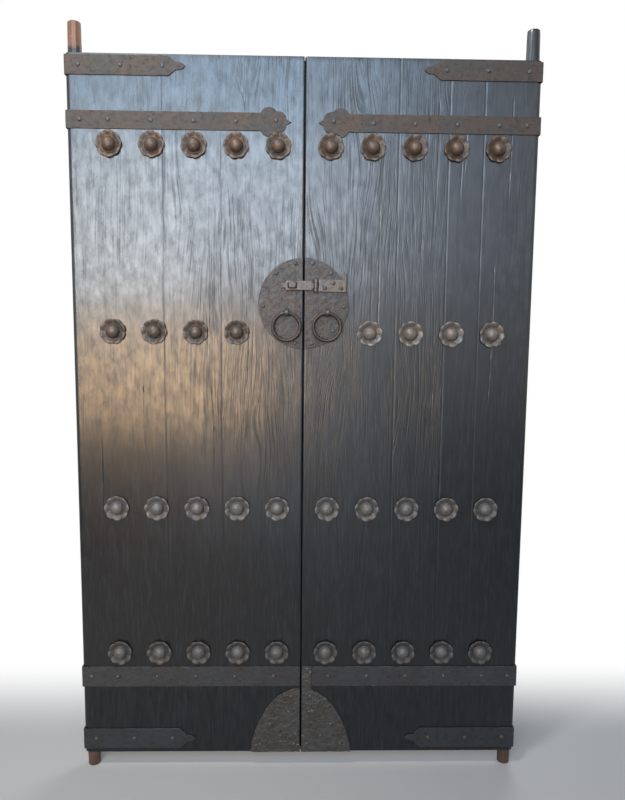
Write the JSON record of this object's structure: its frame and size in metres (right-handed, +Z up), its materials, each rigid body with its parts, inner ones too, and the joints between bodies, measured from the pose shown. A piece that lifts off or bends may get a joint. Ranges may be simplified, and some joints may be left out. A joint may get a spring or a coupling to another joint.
{
  "type": "double plank door",
  "caption": "Pair of upright plank door leaves that turn on their own pivot pegs, with iron straps, rosette studs, split lock plate, ring pulls and a hasp.",
  "frame": {"origin": "bottom middle of the pair: under the seam, level with the lower pivot pegs' ends, in the plane of the pegs' axes", "axes": "+Z up along the seam, +X to the right as seen from outside, +Y into the building, so the studded face looks to -Y"},
  "size_m": [1.185, 0.084, 1.952],
  "materials": {
    "black_lacquered_elm": "satin",
    "batten_elm": "satin",
    "rusted_stud_iron": "matte",
    "worn_stud_iron": "matte",
    "tan_stud_iron": "matte",
    "boss_iron": "matte",
    "strap_iron": "matte",
    "nail_iron": "matte",
    "plate_iron": "matte",
    "ring_iron": "satin",
    "hasp_iron": "satin"
  },
  "bodies": {
    "right_leaf": {"right_boss_nails": "boss_iron", "right_bottom_batten": "batten_elm", "right_bottom_pivot_strap": "strap_iron", "right_bottom_rosettes": "worn_stud_iron", "right_corner_plate": "plate_iron", "right_hinge_stile": "black_lacquered_elm", "right_lock_batten": "batten_elm", "right_lock_plate": "plate_iron", "right_lock_rosettes": "tan_stud_iron", "right_lower_strap": "strap_iron", "right_meeting_board": "black_lacquered_elm", "right_middle_board": "black_lacquered_elm", "right_outer_board": "black_lacquered_elm", "right_plate_nails": "nail_iron", "right_ring_eye": "ring_iron", "right_strap_nails": "nail_iron", "right_top_batten": "batten_elm", "right_top_pivot_strap": "strap_iron", "right_top_rosettes": "rusted_stud_iron", "right_upper_strap": "strap_iron", "right_waist_batten": "batten_elm", "right_waist_rosettes": "worn_stud_iron", "hasp_plate": "hasp_iron", "hasp_pin": "hasp_iron", "hasp_nails": "nail_iron"},
    "left_leaf": {"left_boss_nails": "boss_iron", "left_bottom_batten": "batten_elm", "left_bottom_pivot_strap": "strap_iron", "left_bottom_rosettes": "worn_stud_iron", "left_corner_plate": "plate_iron", "left_hinge_stile": "black_lacquered_elm", "left_lock_batten": "batten_elm", "left_lock_plate": "plate_iron", "left_lock_rosettes": "worn_stud_iron", "left_lower_strap": "strap_iron", "left_meeting_board": "black_lacquered_elm", "left_middle_board": "black_lacquered_elm", "left_plate_nails": "nail_iron", "left_ring_eye": "ring_iron", "left_strap_nails": "nail_iron", "left_top_batten": "batten_elm", "left_top_pivot_strap": "strap_iron", "left_top_rosettes": "rusted_stud_iron", "left_upper_strap": "strap_iron", "left_waist_batten": "batten_elm", "left_waist_rosettes": "worn_stud_iron", "hasp_staple": "hasp_iron"},
    "left_ring": {"left_ring_pull": "ring_iron"},
    "right_ring": {"right_ring_pull": "ring_iron"},
    "hasp": {"hasp_arm": "hasp_iron"}
  },
  "joints": [
    {"name": "left_leaf_swing", "type": "hinge", "parent": "right_leaf", "child": "left_leaf", "pos_m": [-0.5715, 0, 0.022], "axis": [0, 0, 1], "range_deg": [0, 100]},
    {"name": "left_ring_swing", "type": "hinge", "parent": "left_leaf", "child": "left_ring", "pos_m": [-0.0435, -0.0323, 1.24516], "axis": [-1, 0, 0], "range_deg": [0, 110]},
    {"name": "right_ring_swing", "type": "hinge", "parent": "right_leaf", "child": "right_ring", "pos_m": [0.06, -0.0323, 1.24516], "axis": [-1, 0, 0], "range_deg": [0, 110]},
    {"name": "hasp_swing", "type": "hinge", "parent": "right_leaf", "child": "hasp", "pos_m": [0.031, -0.029, 1.31465], "axis": [0, 0, 1], "range_deg": [0, 165]}
  ]
}
